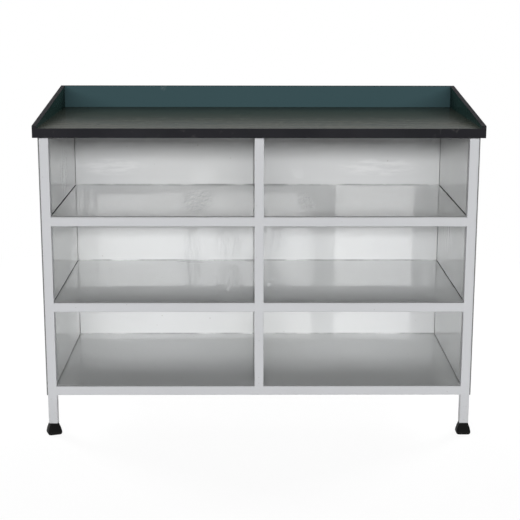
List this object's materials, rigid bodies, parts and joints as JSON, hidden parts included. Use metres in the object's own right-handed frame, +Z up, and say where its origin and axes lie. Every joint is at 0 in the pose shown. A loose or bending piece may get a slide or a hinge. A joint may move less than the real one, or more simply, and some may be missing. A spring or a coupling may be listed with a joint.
{
  "type": "dispensing counter",
  "caption": "Free-standing dispensing counter: tube frame clad in gloss panels, open bays in tiers, dark worktop with a raking rim, levelling feet.",
  "frame": {"origin": "on the floor, under the middle of the worktop", "axes": "+Z up, +X to the right of a person facing the open bays, and the open front faces -Y"},
  "size_m": [1.2, 0.6, 0.919],
  "materials": {
    "frame_enamel": "satin",
    "panel_gloss": "gloss",
    "worktop_laminate": "satin",
    "edge_band": "satin",
    "dowel_wood": "matte",
    "zinc_steel": "satin",
    "insert_plastic": "matte",
    "foot_plastic": "satin"
  },
  "bodies": {
    "counter": {"front_left_post": "frame_enamel", "front_centre_post": "frame_enamel", "front_right_post": "frame_enamel", "rear_left_post": "frame_enamel", "rear_centre_post": "frame_enamel", "rear_right_post": "frame_enamel", "front_bottom_rail": "frame_enamel", "front_middle_left_rail": "frame_enamel", "front_middle_right_rail": "frame_enamel", "front_top_left_rail": "frame_enamel", "front_top_right_rail": "frame_enamel", "left_side_rails": "frame_enamel", "right_side_rails": "frame_enamel", "centre_cross_rails": "frame_enamel", "rear_rails": "frame_enamel", "bottom_shelf_deck": "panel_gloss", "left_wall_panel_bottom": "panel_gloss", "divider_panel_bottom_left": "panel_gloss", "back_panel_bottom_left": "panel_gloss", "right_wall_panel_bottom": "panel_gloss", "divider_panel_bottom_right": "panel_gloss", "back_panel_bottom_right": "panel_gloss", "middle_shelf_deck": "panel_gloss", "left_wall_panel_middle": "panel_gloss", "divider_panel_middle_left": "panel_gloss", "back_panel_middle_left": "panel_gloss", "right_wall_panel_middle": "panel_gloss", "divider_panel_middle_right": "panel_gloss", "back_panel_middle_right": "panel_gloss", "top_shelf_deck": "panel_gloss", "left_wall_panel_top": "panel_gloss", "divider_panel_top_left": "panel_gloss", "back_panel_top_left": "panel_gloss", "right_wall_panel_top": "panel_gloss", "divider_panel_top_right": "panel_gloss", "back_panel_top_right": "panel_gloss", "left_outer_panel": "panel_gloss", "right_outer_panel": "panel_gloss", "back_outer_panel": "panel_gloss", "worktop_board": "worktop_laminate", "rear_upstand": "worktop_laminate", "left_side_guard": "worktop_laminate", "right_side_guard": "worktop_laminate", "worktop_front_band": "edge_band", "upstand_band": "edge_band", "left_guard_band": "edge_band", "right_guard_band": "edge_band", "board_dowels": "dowel_wood", "worktop_screws": "zinc_steel", "leg_inserts": "insert_plastic"},
    "front_left_levelling_foot": {"front_left_foot": "foot_plastic", "front_left_foot_stud": "zinc_steel"},
    "front_right_levelling_foot": {"front_right_foot": "foot_plastic", "front_right_foot_stud": "zinc_steel"},
    "rear_left_levelling_foot": {"rear_left_foot": "foot_plastic", "rear_left_foot_stud": "zinc_steel"},
    "rear_right_levelling_foot": {"rear_right_foot": "foot_plastic", "rear_right_foot_stud": "zinc_steel"}
  },
  "joints": [
    {"name": "front_left_foot_screw", "type": "slide", "parent": "counter", "child": "front_left_levelling_foot", "axis": [0, 0, -1], "range_m": [0, 0.015]},
    {"name": "front_right_foot_screw", "type": "slide", "parent": "counter", "child": "front_right_levelling_foot", "axis": [0, 0, -1], "range_m": [0, 0.015]},
    {"name": "rear_left_foot_screw", "type": "slide", "parent": "counter", "child": "rear_left_levelling_foot", "axis": [0, 0, -1], "range_m": [0, 0.015]},
    {"name": "rear_right_foot_screw", "type": "slide", "parent": "counter", "child": "rear_right_levelling_foot", "axis": [0, 0, -1], "range_m": [0, 0.015]}
  ]
}
